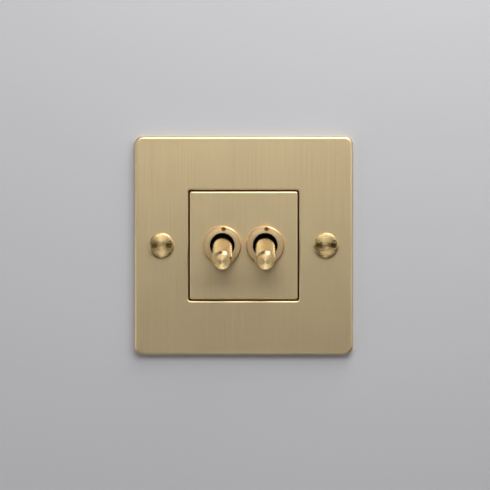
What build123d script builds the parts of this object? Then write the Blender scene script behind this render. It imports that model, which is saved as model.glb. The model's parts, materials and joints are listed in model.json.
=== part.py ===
"""Two-gang toggle wall switch: a square brass cover plate with a flush insert and two knurled toggles.

Millimetres, +Z up, +X to the right of someone facing the switch, +Y into the wall.
The origin is the centre of the fixing screws on the wall plane, which is the back of the cover plate.
Depths are Y values: negative in front of the wall, positive inside the wall box.
"""
import math
import os

from build123d import *

# Cover plate and flush insert
PLATE_SIDE = 80.0
PLATE_THICK = 3.0
PLATE_CORNER = 3.0
PLATE_EDGE = 1.0
OPENING_SIDE = 40.6
OPENING_CORNER = 1.0
INSERT_SIDE = 39.6
INSERT_CORNER = 0.75
INNER_EDGE = 0.6

# Fixing screws, M3.5 on the standard wall-box centres
FIXING_CENTRES = 60.3
FIXING_RADIUS = 1.75
FIXING_HOLE_RADIUS = 2.05
FIXING_NECK_RADIUS = 1.5
FIXING_NECK_END = 0.2
FIXING_TIP_DEPTH = 22.0
FIXING_TIP_CHAMFER = 0.5
FIXING_HEAD_RADIUS = 4.55
FIXING_HEAD_HEIGHT = 1.6
FIXING_HEAD_ROUND = 0.45
SLOT_LENGTH = 7.4
SLOT_WIDTH = 1.7
SLOT_DEPTH = 1.1
BRIDGE_LENGTH = 3.25
BRIDGE_DEPTH = 0.4
SLOT_CORNER = 0.25

# Carrier behind the plate
CARRIER_SIDE = 50.0
CARRIER_THICK = 1.2
CARRIER_CHAMFER = 6.0
CARRIER_SCREW_X = 22.8
CARRIER_SCREW_Z = 14.0
CARRIER_HOLE_RADIUS = 1.35
M25_RADIUS = 1.25
THREAD_GAP = 0.02
CARRIER_HEAD_RADIUS = 2.2
CARRIER_HEAD_HEIGHT = 1.3
CARRIER_HEAD_ROUND = 0.3
CARRIER_SLOT_DEPTH = 0.6
CARRIER_SLOT_WIDTH = 0.6
CARRIER_SCREW_BITE = 1.8
BLIND_HOLE_REST = 0.2

# Toggle bushing and the collar screwed on it
TOGGLE_X = 7.85
BUSHING_HOLE_RADIUS = 5.2
BUSHING_RADIUS = 5.0
BUSHING_BORE = 4.4
BUSHING_FRONT = -5.05
FLANGE_RADIUS = 6.7
FLANGE_THICK = 1.0
FLANGE_GAP = 0.1
BUSHING_FLARE = 0.2
COLLAR_RADIUS = 6.95
COLLAR_BORE = 4.5
COLLAR_BORE_CHAMFER = 0.1
COLLAR_FRONT = -5.4
COLLAR_FALL = 0.08
COLLAR_CHAMFER = 0.3
KEY_HOLE_RADIUS = 0.8
KEY_HOLE_PLACE = 5.95
KEY_HOLE_ANGLE = 4.7
KEY_HOLE_DEPTH = 1.5

# Toggle lever; lengths run from its pivot, positive towards the tip
PIVOT_Y = -4.4
LEVER_TILT = 22.0
BARREL_START = 1.5
BARREL_END = 14.35
BARREL_ROOT_RADIUS = 3.55
BARREL_TIP_RADIUS = 3.75
BARREL_BEVEL = 0.1
TIP_END = 15.8
TIP_ROOT_RADIUS = 3.65
TIP_FACE_RADIUS = 3.0
TIP_BEVEL = 0.05
STEM_RADIUS = 1.25
STEM_FRONT = 12.0
STEM_TAIL = -8.6
SPIGOT_START = 12.3
HUB_NECK_RADIUS = 2.9
HUB_BOWL_RADIUS = 4.2
HUB_BOWL_FRONT = -1.2
HUB_BOWL_BACK = -3.2
PIVOT_PIN_RADIUS = 0.6
PIVOT_PIN_HALF = 4.9
PIN_HOLE_GAP = 0.01
RUNNING_FIT = 0.05

# Spring plunger in the tail of the stem
PLUNGER_RADIUS = 0.72
PLUNGER_BORE = 0.8
PLUNGER_CENTRE = -9.8
PLUNGER_INNER_END = -5.8
SPRING_SEAT = -2.6
SPRING_MEAN_RADIUS = 0.5
SPRING_WIRE_RADIUS = 0.1
SPRING_PITCH = 0.45
SPRING_END_GAP = 0.02

# Rocking contact
ROCKER_Y = 7.2
ROCKER_RATIO = 0.4
ROCKER_HALF_WIDTH = 2.5
ROCKER_THICK = 0.6
ROCKER_REACH = 9.2
SADDLE_HALF = 4.2
SADDLE_GAP = 0.08
ARM_OVERLAP = 0.2
BOSS_RADIUS = 0.9
FULCRUM_PIN_RADIUS = 0.5
CONTACT_Z = 8.0
CONTACT_RADIUS = 1.2
CONTACT_HEIGHT = 0.9
CONTACT_BEVEL = 0.4
CONTACT_CROWN = 0.1
FIXED_CONTACT_Z = 8.3
FIXED_CONTACT_RADIUS = 1.5
FIXED_CONTACT_FRONT = 7.33
FIXED_CONTACT_BEVEL = 0.2

# Switch module housings and terminals
HOUSING_WIDTH = 15.2
HOUSING_HEIGHT = 35.0
HOUSING_CORNER = 1.0
HOUSING_BACK_EDGE = 0.6
HOUSING_SPLIT = 9.3
HOUSING_BACK = 24.0
FRONT_WALL_BACK = 2.8
CAVITY_WIDTH = 12.4
CAVITY_HEIGHT = 28.4
BLOCK_WIDTH = 6.0
BLOCK_HEIGHT = 7.0
BLOCK_FRONT = 14.0
BLOCK_BACK = 23.1
BLOCK_Z = 10.4
POCKET_GAP = 0.15
SHEET = 1.0
STRIP_WIDTH = 5.0
CONTACT_STRIP_INNER = 5.6
CONTACT_STRIP_OUTER = 12.8
FULCRUM_BASE_HEIGHT = 4.6
FULCRUM_BASE_GAP = 0.1
CHEEK_GAP = 0.3
CHEEK_THICK = 0.8
CHEEK_HEIGHT = 3.2
CHEEK_RISE = 1.0
SEAT_GAP = 0.15
WIRE_RADIUS = 1.6
WIRE_DEPTH = 7.5
SCREW_NOTCH_FRONT = 17.0
SCREW_NOTCH_HALF = 2.15
CLAMP_Y = 19.3
CLAMP_TIP = 1.7
CLAMP_HEAD_RADIUS = 1.9
CLAMP_HEAD_START = 4.4
CLAMP_HEAD_END = 6.6
CLAMP_SLOT = 0.8
RIVET_RADIUS = 1.0
RIVET_HEAD_RADIUS = 1.4
RIVET_HEAD_HEIGHT = 0.7
RIVET_Z = 15.9
RIVET_GAP = 0.05
RIVET_SINK = 0.1

# Earth terminal under the modules
EARTH_Z = -21.3
EARTH_WIDTH = 7.0
EARTH_HEIGHT = 6.6
EARTH_BACK = 9.5
EARTH_WIRE_DEPTH = 6.0
EARTH_SCREW_Y = 6.2
EARTH_HEAD_HEIGHT = 1.8
EARTH_SLOT_WIDTH = 0.7
EARTH_SLOT_DEPTH = 0.7

# How far a cutting shape runs past the face it cuts
PAST = 1.0

PLATE_FRONT = -PLATE_THICK
CARRIER_BACK = CARRIER_THICK


def slab(x, z, width, height, front, back, corner=0.0):
    """A rectangular block between two depths, with its four long corners rounded."""
    block = Pos(x, (front + back) / 2, z) * Box(width, back - front, height)
    if corner:
        block = fillet(block.edges().filter_by(Axis.Y), corner)
    return block


def disc(x, z, radius, front, back):
    """A round bar along Y between two depths."""
    return Pos(x, (front + back) / 2, z) * Rot(90, 0, 0) * Cylinder(radius, back - front)


def cross_bar(y, z, radius, start, end):
    """A round bar along X."""
    return Pos((start + end) / 2, y, z) * Rot(0, 90, 0) * Cylinder(radius, abs(end - start))


def turned(*profile):
    """Revolves (radius, height) corners about Z."""
    outline = Polyline([(radius, 0, height) for radius, height in profile], close=True)
    return revolve(make_face(outline), Axis.Z)


def along_depth(x, z):
    """Turns a piece made along Z so that its axis runs along +Y through (x, z)."""
    return Plane(origin=(x, 0, z), x_dir=(1, 0, 0), z_dir=(0, 1, 0)).location


def front_rim(block, inner=False):
    """The edges round the front face, or round the opening in it."""
    face = block.faces().sort_by(Axis.Y)[0]
    wire = face.inner_wires()[0] if inner else face.outer_wire()
    return wire.edges()


def carrier_screw_places():
    """Where the four screws through the carrier sit, as (x, z)."""
    return [(x * CARRIER_SCREW_X, z * CARRIER_SCREW_Z) for x in (-1, 1) for z in (-1, 1)]


def slotted_head_x(y, z, start, end, side):
    """A slotted clamp-screw head lying along X, its slot on the outer end."""
    head = cross_bar(y, z, CLAMP_HEAD_RADIUS, start, end)
    slot = Box(CLAMP_SLOT, CLAMP_SLOT, 2 * CLAMP_HEAD_RADIUS)
    return head - Pos(end - side * CLAMP_SLOT / 2, y, z) * slot


def make_cover_plate():
    """The square plate: soft front edges, a square opening, two fixing holes, four blind tapped ones."""
    plate = slab(0, 0, PLATE_SIDE, PLATE_SIDE, PLATE_FRONT, 0, PLATE_CORNER)
    plate = fillet(front_rim(plate), PLATE_EDGE)
    plate -= slab(0, 0, OPENING_SIDE, OPENING_SIDE, PLATE_FRONT - PAST, PAST, OPENING_CORNER)
    plate = fillet(front_rim(plate, inner=True), INNER_EDGE)
    blind_end = -CARRIER_SCREW_BITE - BLIND_HOLE_REST
    for side in (-1, 1):
        plate -= disc(side * FIXING_CENTRES / 2, 0, FIXING_HOLE_RADIUS, PLATE_FRONT - PAST, PAST)
    for x, z in carrier_screw_places():
        plate -= disc(x, z, M25_RADIUS + THREAD_GAP, blind_end, PAST)
    return plate


def make_insert_panel():
    """The loose square in the plate's opening, drilled for the two bushings."""
    panel = slab(0, 0, INSERT_SIDE, INSERT_SIDE, PLATE_FRONT, 0, INSERT_CORNER)
    panel = fillet(front_rim(panel), INNER_EDGE)
    for side in (-1, 1):
        panel -= disc(side * TOGGLE_X, 0, BUSHING_HOLE_RADIUS, PLATE_FRONT - PAST, PAST)
    return panel


def make_carrier_frame():
    """The steel carrier that the insert, the modules and the earth terminal are fixed to."""
    frame = slab(0, 0, CARRIER_SIDE, CARRIER_SIDE, 0, CARRIER_BACK)
    frame = chamfer(frame.edges().filter_by(Axis.Y), CARRIER_CHAMFER)
    for side in (-1, 1):
        frame -= disc(side * TOGGLE_X, 0, BUSHING_HOLE_RADIUS, -PAST, CARRIER_BACK + PAST)
    for x, z in carrier_screw_places():
        frame -= disc(x, z, CARRIER_HOLE_RADIUS, -PAST, CARRIER_BACK + PAST)
    return frame


def make_carrier_screw(x, z):
    """A slotted cheese-head screw driven from the back through the carrier into the cover plate."""
    shank = disc(x, z, M25_RADIUS, -CARRIER_SCREW_BITE, CARRIER_BACK)
    head_back = CARRIER_BACK + CARRIER_HEAD_HEIGHT
    head = disc(x, z, CARRIER_HEAD_RADIUS, CARRIER_BACK, head_back)
    head = fillet(head.edges().sort_by(Axis.Y)[-1], CARRIER_HEAD_ROUND)
    slot = Box(2 * CARRIER_HEAD_RADIUS, 2 * CARRIER_SLOT_DEPTH, CARRIER_SLOT_WIDTH)
    return shank + head - Pos(x, head_back, z) * slot


def make_fixing_screw(x):
    """A flat-headed M3.5 screw with a narrow neck, its closed slot two deep ends and a shallow bridge."""
    head_front = PLATE_FRONT - FIXING_HEAD_HEIGHT
    head = disc(x, 0, FIXING_HEAD_RADIUS, head_front, PLATE_FRONT)
    head = fillet(head.edges().sort_by(Axis.Y)[0], FIXING_HEAD_ROUND)
    end_length = (SLOT_LENGTH - BRIDGE_LENGTH) / 2
    end_place = (BRIDGE_LENGTH + end_length) / 2
    bridge_width = BRIDGE_LENGTH + end_length
    front = head_front - PAST
    head -= slab(x, 0, bridge_width, SLOT_WIDTH, front, head_front + BRIDGE_DEPTH)
    for pocket_x in (x - end_place, x + end_place):
        head -= slab(pocket_x, 0, end_length, SLOT_WIDTH, front, head_front + SLOT_DEPTH, SLOT_CORNER)
    neck = disc(x, 0, FIXING_NECK_RADIUS, PLATE_FRONT, FIXING_NECK_END)
    shank = disc(x, 0, FIXING_RADIUS, FIXING_NECK_END, FIXING_TIP_DEPTH)
    shank = chamfer(shank.edges().sort_by(Axis.Y)[-1], FIXING_TIP_CHAMFER)
    return head + neck + shank


def make_earth_terminal():
    """A brass block on the carrier with one wire entry from behind and a clamp hole from below."""
    block = slab(0, EARTH_Z, EARTH_WIDTH, EARTH_HEIGHT, CARRIER_BACK, EARTH_BACK)
    block -= disc(0, EARTH_Z, WIRE_RADIUS, EARTH_BACK - EARTH_WIRE_DEPTH, EARTH_BACK + PAST)
    screw_hole = Cylinder(M25_RADIUS + THREAD_GAP, EARTH_HEIGHT / 2)
    return block - Pos(0, EARTH_SCREW_Y, EARTH_Z - EARTH_HEIGHT / 4) * screw_hole


def make_earth_screw():
    """The slotted clamp screw under the earth terminal."""
    block_bottom = EARTH_Z - EARTH_HEIGHT / 2
    tip = EARTH_Z - CLAMP_TIP
    head_bottom = block_bottom - EARTH_HEAD_HEIGHT
    shank = Cylinder(M25_RADIUS, tip - block_bottom)
    head = Cylinder(CLAMP_HEAD_RADIUS, EARTH_HEAD_HEIGHT)
    slot = Box(2 * CLAMP_HEAD_RADIUS, EARTH_SLOT_WIDTH, 2 * EARTH_SLOT_DEPTH)
    screw = Pos(0, EARTH_SCREW_Y, (block_bottom + tip) / 2) * shank
    screw += Pos(0, EARTH_SCREW_Y, (block_bottom + head_bottom) / 2) * head
    return screw - Pos(0, EARTH_SCREW_Y, head_bottom) * slot


def make_collar(x):
    """The round nut on the bushing: an inner thread behind a thin front lip, and one pin-key hole."""
    nut = turned(
        (COLLAR_BORE + COLLAR_BORE_CHAMFER, COLLAR_FRONT),
        (COLLAR_RADIUS - COLLAR_CHAMFER, COLLAR_FRONT + COLLAR_FALL),
        (COLLAR_RADIUS, COLLAR_FRONT + COLLAR_FALL + COLLAR_CHAMFER),
        (COLLAR_RADIUS, PLATE_FRONT),
        (BUSHING_RADIUS + RUNNING_FIT, PLATE_FRONT),
        (BUSHING_RADIUS + RUNNING_FIT, BUSHING_FRONT),
        (COLLAR_BORE, BUSHING_FRONT),
        (COLLAR_BORE, COLLAR_FRONT + COLLAR_BORE_CHAMFER),
    )
    angle = math.radians(KEY_HOLE_ANGLE)
    hole_x = x + KEY_HOLE_PLACE * math.sin(angle)
    hole_z = KEY_HOLE_PLACE * math.cos(angle)
    hole_end = COLLAR_FRONT + KEY_HOLE_DEPTH
    key_hole = disc(hole_x, hole_z, KEY_HOLE_RADIUS, COLLAR_FRONT - PAST, hole_end)
    return along_depth(x, 0) * nut - key_hole


def make_bushing(x):
    """The threaded sleeve of a module, slotted at its front end for the lever's pivot pin."""
    sleeve = turned(
        (BUSHING_BORE, BUSHING_FRONT),
        (BUSHING_RADIUS, BUSHING_FRONT),
        (BUSHING_RADIUS, CARRIER_BACK),
        (FLANGE_RADIUS, CARRIER_BACK),
        (FLANGE_RADIUS, CARRIER_BACK + FLANGE_THICK),
        (BUSHING_BORE + BUSHING_FLARE, CARRIER_BACK + FLANGE_THICK),
        (BUSHING_BORE, 0),
    )
    slot_radius = PIVOT_PIN_RADIUS + RUNNING_FIT
    slot_end = cross_bar(PIVOT_Y, 0, slot_radius, x - COLLAR_RADIUS, x + COLLAR_RADIUS)
    slot = slab(x, 0, 2 * COLLAR_RADIUS, 2 * slot_radius, BUSHING_FRONT - PAST, PIVOT_Y)
    return along_depth(x, 0) * sleeve - slot_end - slot


def lever_location(x):
    """The lever's own frame at rest: origin on the pivot, Z out along the lever, X along the pin."""
    tilt = math.radians(LEVER_TILT)
    direction = (0, -math.cos(tilt), -math.sin(tilt))
    return Plane(origin=(x, PIVOT_Y, 0), x_dir=(1, 0, 0), z_dir=direction).location


def make_lever(x):
    """The pieces that swing together, and the sprung plunger in the stem's tail."""
    stem_hole = STEM_RADIUS + THREAD_GAP
    barrel = turned(
        (stem_hole, BARREL_START),
        (BARREL_ROOT_RADIUS - BARREL_BEVEL, BARREL_START),
        (BARREL_ROOT_RADIUS, BARREL_START + BARREL_BEVEL),
        (BARREL_TIP_RADIUS, BARREL_END),
        (stem_hole, BARREL_END),
    )
    tip = turned(
        (0, SPIGOT_START),
        (STEM_RADIUS, SPIGOT_START),
        (STEM_RADIUS, BARREL_END),
        (TIP_ROOT_RADIUS, BARREL_END),
        (TIP_FACE_RADIUS, TIP_END - TIP_BEVEL),
        (TIP_FACE_RADIUS - TIP_BEVEL, TIP_END),
        (0, TIP_END),
    )
    stem = turned(
        (0, STEM_FRONT),
        (STEM_RADIUS, STEM_FRONT),
        (STEM_RADIUS, STEM_TAIL),
        (PLUNGER_BORE, STEM_TAIL),
        (PLUNGER_BORE, SPRING_SEAT),
        (0, SPRING_SEAT),
    )
    bowl_middle = (HUB_BOWL_FRONT + HUB_BOWL_BACK) / 2
    bowl_height = HUB_BOWL_FRONT - HUB_BOWL_BACK
    band = Pos(0, 0, bowl_middle) * Cylinder(HUB_BOWL_RADIUS + PAST, bowl_height)
    neck_length = BARREL_START - HUB_BOWL_BACK
    neck = Pos(0, 0, BARREL_START - neck_length / 2) * Cylinder(HUB_NECK_RADIUS, neck_length)
    hub = (Sphere(HUB_BOWL_RADIUS) & band) + neck
    hub -= Cylinder(stem_hole, 4 * HUB_BOWL_RADIUS)
    pin_hole = Rot(0, 90, 0) * Cylinder(PIVOT_PIN_RADIUS + PIN_HOLE_GAP, 2 * PIVOT_PIN_HALF)
    plunger_length = PLUNGER_INNER_END - PLUNGER_CENTRE
    plunger = Cylinder(PLUNGER_RADIUS, plunger_length)
    plunger = Pos(0, 0, PLUNGER_CENTRE + plunger_length / 2) * plunger
    plunger += Pos(0, 0, PLUNGER_CENTRE) * Sphere(PLUNGER_RADIUS)
    coil_start = PLUNGER_INNER_END + SPRING_WIRE_RADIUS + SPRING_END_GAP
    coil_end = SPRING_SEAT - SPRING_WIRE_RADIUS - SPRING_END_GAP
    coil_path = Helix(SPRING_PITCH, coil_end - coil_start, SPRING_MEAN_RADIUS)
    wire = Plane(origin=coil_path @ 0, z_dir=coil_path % 0) * Circle(SPRING_WIRE_RADIUS)
    coil = Pos(0, 0, coil_start) * sweep(wire, path=coil_path, is_frenet=True)
    pieces = {
        "lever_barrel": barrel,
        "lever_tip": tip,
        "lever_stem": stem - pin_hole,
        "lever_hub": hub - pin_hole,
        "lever_pin": Rot(0, 90, 0) * Cylinder(PIVOT_PIN_RADIUS, 2 * PIVOT_PIN_HALF),
        "plunger": plunger,
        "plunger_spring": coil,
    }
    place = lever_location(x)
    return {name: place * piece for name, piece in pieces.items()}


def saddle_circle():
    """Radius and centre depth of the circle that the plunger's tip follows, seen from the rocker.

    The lever turns by LEVER_TILT each way from the middle and the rocker by ROCKER_RATIO of that.
    """
    lever_turn = math.radians(LEVER_TILT)
    rocker_turn = lever_turn * ROCKER_RATIO
    middle = PIVOT_Y - PLUNGER_CENTRE - ROCKER_Y
    y = PIVOT_Y - PLUNGER_CENTRE * math.cos(lever_turn) - ROCKER_Y
    z = -PLUNGER_CENTRE * math.sin(lever_turn)
    end_y = y * math.cos(rocker_turn) - z * math.sin(rocker_turn)
    end_z = y * math.sin(rocker_turn) + z * math.cos(rocker_turn)
    rise = middle - end_y
    radius = (end_z**2 + rise**2) / (2 * rise)
    return radius, ROCKER_Y + middle - radius


def make_rocker(x):
    """The copper rocking contact with its hollow saddle, pivot boss and two contact buttons."""
    path_radius, centre_y = saddle_circle()
    inner = path_radius + PLUNGER_RADIUS + SADDLE_GAP
    outer = inner + ROCKER_THICK
    width = 2 * ROCKER_HALF_WIDTH
    left, right = x - ROCKER_HALF_WIDTH, x + ROCKER_HALF_WIDTH
    ring = cross_bar(centre_y, 0, outer, left, right) - cross_bar(centre_y, 0, inner, left, right)
    strip = ring & slab(x, 0, width, 2 * SADDLE_HALF, centre_y, centre_y + outer + PAST)
    arm_start = SADDLE_HALF - ARM_OVERLAP
    arm_length = ROCKER_REACH - arm_start
    arm_front = centre_y + math.sqrt(inner**2 - arm_start**2)
    arm_back = arm_front + ROCKER_THICK
    button_shape = turned(
        (0, 0),
        (CONTACT_RADIUS, 0),
        (CONTACT_RADIUS, CONTACT_HEIGHT - CONTACT_BEVEL),
        (CONTACT_RADIUS - CONTACT_BEVEL, CONTACT_HEIGHT - CONTACT_CROWN),
        (0, CONTACT_HEIGHT),
    )
    buttons = []
    for up in (-1, 1):
        arm_z = up * (arm_start + arm_length / 2)
        strip += slab(x, arm_z, width, arm_length, arm_front, arm_back)
        buttons.append(Pos(0, arm_back, 0) * along_depth(x, up * CONTACT_Z) * button_shape)
    strip += cross_bar(ROCKER_Y, 0, BOSS_RADIUS, left, right)
    strip -= cross_bar(ROCKER_Y, 0, FULCRUM_PIN_RADIUS + RUNNING_FIT, left - PAST, right + PAST)
    rest_turn = -LEVER_TILT * ROCKER_RATIO
    turn = Pos(x, ROCKER_Y, 0) * Rot(rest_turn, 0, 0) * Pos(-x, -ROCKER_Y, 0)
    return {
        "rocker": turn * strip,
        "moving_contacts": Compound([turn * button for button in buttons]),
    }


def make_terminal_block(x, z, side):
    """A brass block with a wire entry from behind and a clamp-screw hole from the module's outer side."""
    block = slab(x, z, BLOCK_WIDTH, BLOCK_HEIGHT, BLOCK_FRONT, BLOCK_BACK)
    block -= disc(x, z, WIRE_RADIUS, BLOCK_BACK - WIRE_DEPTH, BLOCK_BACK + PAST)
    return block - cross_bar(CLAMP_Y, z, M25_RADIUS + THREAD_GAP, x, x + side * BLOCK_WIDTH)


def make_terminals(x, side):
    """The three terminals: the common one carries the fulcrum, the others a fixed contact each."""
    cheek_place = ROCKER_HALF_WIDTH + CHEEK_GAP + CHEEK_THICK / 2
    half = ROCKER_HALF_WIDTH + CHEEK_GAP + CHEEK_THICK
    base_front = HOUSING_SPLIT + FULCRUM_BASE_GAP
    base_back = base_front + SHEET
    common = slab(x, 0, 2 * half, FULCRUM_BASE_HEIGHT, base_front, base_back)
    common += slab(x, 0, STRIP_WIDTH, SHEET, base_back, BLOCK_FRONT)
    common += make_terminal_block(x, 0, side)
    for cheek_x in (x - cheek_place, x + cheek_place):
        common += slab(cheek_x, 0, CHEEK_THICK, CHEEK_HEIGHT, ROCKER_Y - CHEEK_RISE, base_back)
    pin_hole_radius = FULCRUM_PIN_RADIUS + PIN_HOLE_GAP
    common -= cross_bar(ROCKER_Y, 0, pin_hole_radius, x - half - PAST, x + half + PAST)
    pieces = {
        "common_terminal": common,
        "rocker_pin": cross_bar(ROCKER_Y, 0, FULCRUM_PIN_RADIUS, x - half, x + half),
    }
    strip_front = HOUSING_SPLIT - SHEET
    strip_height = CONTACT_STRIP_OUTER - CONTACT_STRIP_INNER
    button = turned(
        (0, FIXED_CONTACT_FRONT),
        (FIXED_CONTACT_RADIUS - FIXED_CONTACT_BEVEL, FIXED_CONTACT_FRONT),
        (FIXED_CONTACT_RADIUS, FIXED_CONTACT_FRONT + FIXED_CONTACT_BEVEL),
        (FIXED_CONTACT_RADIUS, strip_front),
        (0, strip_front),
    )
    for name, up in (("upper", 1), ("lower", -1)):
        strip_z = up * (CONTACT_STRIP_INNER + CONTACT_STRIP_OUTER) / 2
        riser_z = up * (CONTACT_STRIP_OUTER - SHEET / 2)
        strip = slab(x, strip_z, STRIP_WIDTH, strip_height, strip_front, HOUSING_SPLIT)
        strip += slab(x, riser_z, STRIP_WIDTH, SHEET, strip_front, BLOCK_FRONT)
        pieces[name + "_terminal"] = strip + make_terminal_block(x, up * BLOCK_Z, side)
        pieces[name + "_fixed_contact"] = along_depth(x, up * FIXED_CONTACT_Z) * button
    screws = []
    head_start = x + side * CLAMP_HEAD_START
    for z in (-BLOCK_Z, 0, BLOCK_Z):
        shank = cross_bar(CLAMP_Y, z, M25_RADIUS, x + side * CLAMP_TIP, head_start)
        head = slotted_head_x(CLAMP_Y, z, head_start, x + side * CLAMP_HEAD_END, side)
        screws.append(shank + head)
    pieces["terminal_screws"] = Compound(screws)
    return pieces


def make_housings(x, side):
    """The two moulded halves of a module and the rivets through them.

    The rear half is open behind each terminal block, with a notch on the outer side for its clamp screw.
    """
    front = slab(x, 0, HOUSING_WIDTH, HOUSING_HEIGHT, CARRIER_BACK, HOUSING_SPLIT, HOUSING_CORNER)
    cavity_end = HOUSING_SPLIT + PAST
    front -= slab(x, 0, CAVITY_WIDTH, CAVITY_HEIGHT, FRONT_WALL_BACK, cavity_end, HOUSING_CORNER)
    flange_back = CARRIER_BACK + FLANGE_THICK
    front -= disc(x, 0, FLANGE_RADIUS + FLANGE_GAP, CARRIER_BACK - PAST, flange_back)
    front -= disc(x, 0, BUSHING_BORE + BUSHING_FLARE, CARRIER_BACK, HOUSING_SPLIT)
    rear = slab(x, 0, HOUSING_WIDTH, HOUSING_HEIGHT, HOUSING_SPLIT, HOUSING_BACK, HOUSING_CORNER)
    rear = fillet(rear.faces().sort_by(Axis.Y)[-1].outer_wire().edges(), HOUSING_BACK_EDGE)
    base_width = 2 * (ROCKER_HALF_WIDTH + CHEEK_GAP + CHEEK_THICK)
    seat_width = base_width + 2 * SEAT_GAP
    seat_height = FULCRUM_BASE_HEIGHT + 2 * SEAT_GAP
    seat_back = HOUSING_SPLIT + 2 * FULCRUM_BASE_GAP + SHEET
    open_front, open_back = HOUSING_SPLIT - PAST, HOUSING_BACK + PAST
    rear -= slab(x, 0, seat_width, seat_height, open_front, seat_back)
    pocket_width = BLOCK_WIDTH + 2 * POCKET_GAP
    pocket_height = BLOCK_HEIGHT + 2 * POCKET_GAP
    notch_x = x + side * HOUSING_WIDTH / 2
    notch_height = 2 * SCREW_NOTCH_HALF
    for z in (-BLOCK_Z, 0, BLOCK_Z):
        rear -= slab(x, z, pocket_width, pocket_height, open_front, open_back)
        rear -= slab(notch_x, z, HOUSING_WIDTH, notch_height, SCREW_NOTCH_FRONT, open_back)
    rivets = []
    head_front = CARRIER_BACK + RIVET_HEAD_HEIGHT
    head_back = HOUSING_BACK - RIVET_HEAD_HEIGHT
    rivet_front, rivet_back = CARRIER_BACK + RIVET_SINK, HOUSING_BACK - RIVET_SINK
    hole_radius = RIVET_RADIUS + RIVET_GAP
    sink_radius = RIVET_HEAD_RADIUS + RIVET_GAP
    for z in (-RIVET_Z, RIVET_Z):
        hole = disc(x, z, hole_radius, CARRIER_BACK - PAST, open_back)
        front -= hole + disc(x, z, sink_radius, CARRIER_BACK - PAST, head_front)
        rear -= hole + disc(x, z, sink_radius, head_back, open_back)
        rivet = disc(x, z, RIVET_RADIUS, rivet_front, rivet_back)
        rivet += disc(x, z, RIVET_HEAD_RADIUS, rivet_front, head_front)
        rivet += disc(x, z, RIVET_HEAD_RADIUS, head_back, rivet_back)
        rivets.append(rivet)
    return {"front_housing": front, "rear_housing": rear, "housing_rivets": Compound(rivets)}


def main():
    """Builds every node and writes one STEP file for each."""
    fixing_xs = (-FIXING_CENTRES / 2, FIXING_CENTRES / 2)
    nodes = {
        "cover_plate": make_cover_plate(),
        "insert_panel": make_insert_panel(),
        "carrier_frame": make_carrier_frame(),
        "carrier_screws": Compound([make_carrier_screw(x, z) for x, z in carrier_screw_places()]),
        "fixing_screws": Compound([make_fixing_screw(x) for x in fixing_xs]),
        "earth_terminal": make_earth_terminal(),
        "earth_screw": make_earth_screw(),
    }
    for name, side in (("left", -1), ("right", 1)):
        x = side * TOGGLE_X
        module = {"collar": make_collar(x), "bushing": make_bushing(x)}
        module.update(make_lever(x))
        module.update(make_rocker(x))
        module.update(make_terminals(x, side))
        module.update(make_housings(x, side))
        for piece, shape in module.items():
            nodes[name + "_" + piece] = shape
    os.makedirs("parts", exist_ok=True)
    for name, shape in nodes.items():
        export_step(shape, "parts/" + name + ".step")
    print(len(nodes), "nodes")


main()
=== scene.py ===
# %% [markdown]
# # A brass toggle wall switch
# The CAD model of the switch is loaded as a frame that never moves. Most of its solids already
# have the right shape and get a procedural finish here. The knurled lever barrels and the
# threaded fixing screws are made again as meshes, because their fine relief is what the eye
# goes to first.

# %% load the frame
import json
import math

import bmesh
import bpy
from mathutils import Matrix, Vector


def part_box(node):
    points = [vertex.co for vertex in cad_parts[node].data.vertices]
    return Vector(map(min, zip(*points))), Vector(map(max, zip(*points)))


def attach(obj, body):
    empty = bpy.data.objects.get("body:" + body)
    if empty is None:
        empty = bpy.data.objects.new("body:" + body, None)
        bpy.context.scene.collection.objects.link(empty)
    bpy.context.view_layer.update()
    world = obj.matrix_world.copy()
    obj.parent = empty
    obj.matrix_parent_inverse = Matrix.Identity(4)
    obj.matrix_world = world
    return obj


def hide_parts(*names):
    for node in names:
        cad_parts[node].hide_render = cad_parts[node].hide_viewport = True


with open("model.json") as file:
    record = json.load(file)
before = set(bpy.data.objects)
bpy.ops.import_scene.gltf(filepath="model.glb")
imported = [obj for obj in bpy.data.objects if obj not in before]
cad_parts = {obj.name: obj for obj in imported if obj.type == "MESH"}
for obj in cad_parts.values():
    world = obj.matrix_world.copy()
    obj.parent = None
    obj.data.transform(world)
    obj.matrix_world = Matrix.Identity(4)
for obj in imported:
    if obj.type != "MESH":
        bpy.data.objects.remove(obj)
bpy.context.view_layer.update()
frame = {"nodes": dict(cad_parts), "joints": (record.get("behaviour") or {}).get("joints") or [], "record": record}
MM = 0.001


# %% [markdown]
# ## Where things are
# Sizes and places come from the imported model: the plate's box, the lever's hinge and the
# direction in which its plunger slides, which is the lever's own axis. Working from them keeps
# every mesh in its place if the levers or the screws are moved in the CAD.

# %% read the plate, the levers and the screws
SIDES = ("left", "right")
plate_low, plate_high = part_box("cover_plate")
plate_front = plate_low.y
joints = {joint["name"]: joint for joint in frame["joints"]}
mounts = {mount["name"]: mount for mount in frame["record"]["mounts"]}
fixing_half = mounts["fixing_studs"]["dims"]["pcd_mm"] / 2 * MM


def lever_axis(side):
    """The lever's pivot, and the direction from it to the tip."""
    pivot = Vector(joints[side + "_lever_swing"]["pos_m"])
    direction = Vector(joints[side + "_plunger_slide"]["axis"])
    return pivot, direction


def screw_place(side):
    """Where a fixing screw's head rests on the plate."""
    pivot, _ = lever_axis(side)
    return Vector((math.copysign(fixing_half, pivot.x), plate_front, 0.0))


print("plate side in mm:", round((plate_high.x - plate_low.x) / MM, 2))
print("fixing centres in mm:", round(2 * fixing_half / MM, 2))

# %% [markdown]
# ## Node maths in plain expressions
# A finish is built from sums on where a point lies. Typing `depth * 2 - 1` is easier to read
# than three Math nodes, so one small class wraps an output socket and lets Python's own
# operators add those nodes.

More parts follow.
